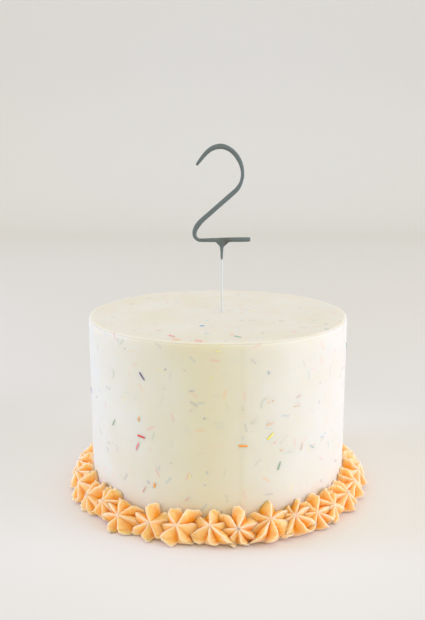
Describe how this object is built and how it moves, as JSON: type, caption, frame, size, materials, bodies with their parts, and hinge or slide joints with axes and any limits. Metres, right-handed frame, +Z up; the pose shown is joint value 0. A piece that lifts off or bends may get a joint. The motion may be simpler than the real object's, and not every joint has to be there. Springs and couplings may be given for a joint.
{
  "type": "birthday cake",
  "caption": "Round buttercream birthday cake with sprinkles in its icing, a ring of piped stars round its foot, and a numeral two on a thin wire in its top.",
  "frame": {"origin": "middle of the cake's flat base, on the surface it stands on", "axes": "+Z up, -Y towards the side that the numeral faces, +X to the right when seen from there"},
  "size_m": [0.1906, 0.1906, 0.2134],
  "materials": {
    "icing": "smooth ivory buttercream, scraped flat, soft satin",
    "piping": "peach buttercream piped through a star nozzle, soft satin with sharp ridges",
    "topper_coat": "dull grey coat, finely rough",
    "topper_wire": "thin pale drawn wire",
    "sprinkle_red": "red sugar sprinkle, a little faded by the icing on it",
    "sprinkle_pink": "pink sugar sprinkle, a little faded by the icing on it",
    "sprinkle_orange": "orange sugar sprinkle, a little faded by the icing on it",
    "sprinkle_yellow": "yellow sugar sprinkle, a little faded by the icing on it",
    "sprinkle_green": "green sugar sprinkle, a little faded by the icing on it",
    "sprinkle_blue": "blue sugar sprinkle, a little faded by the icing on it",
    "sprinkle_violet": "violet sugar sprinkle, a little faded by the icing on it",
    "sprinkle_slate": "slate sugar sprinkle, a little faded by the icing on it"
  },
  "bodies": {
    "root": {"cake": "icing", "piped_star_01": "piping", "piped_star_02": "piping", "piped_star_03": "piping", "piped_star_04": "piping", "piped_star_05": "piping", "piped_star_06": "piping", "piped_star_07": "piping", "piped_star_08": "piping", "piped_star_09": "piping", "piped_star_10": "piping", "piped_star_11": "piping", "piped_star_12": "piping", "piped_star_13": "piping", "piped_star_14": "piping", "piped_star_15": "piping", "piped_star_16": "piping", "piped_star_17": "piping", "piped_star_18": "piping", "piped_star_19": "piping", "piped_star_20": "piping", "piped_star_21": "piping", "piped_star_22": "piping", "piped_star_23": "piping", "piped_star_24": "piping", "piped_star_25": "piping", "piped_star_26": "piping", "piped_star_27": "piping", "piped_star_28": "piping", "piped_star_29": "piping", "piped_star_30": "piping", "piped_star_31": "piping", "piped_star_32": "piping", "piped_star_33": "piping", "piped_star_34": "piping", "piped_star_35": "piping", "numeral": "topper_coat", "wire": "topper_wire"}
  },
  "joints": []
}
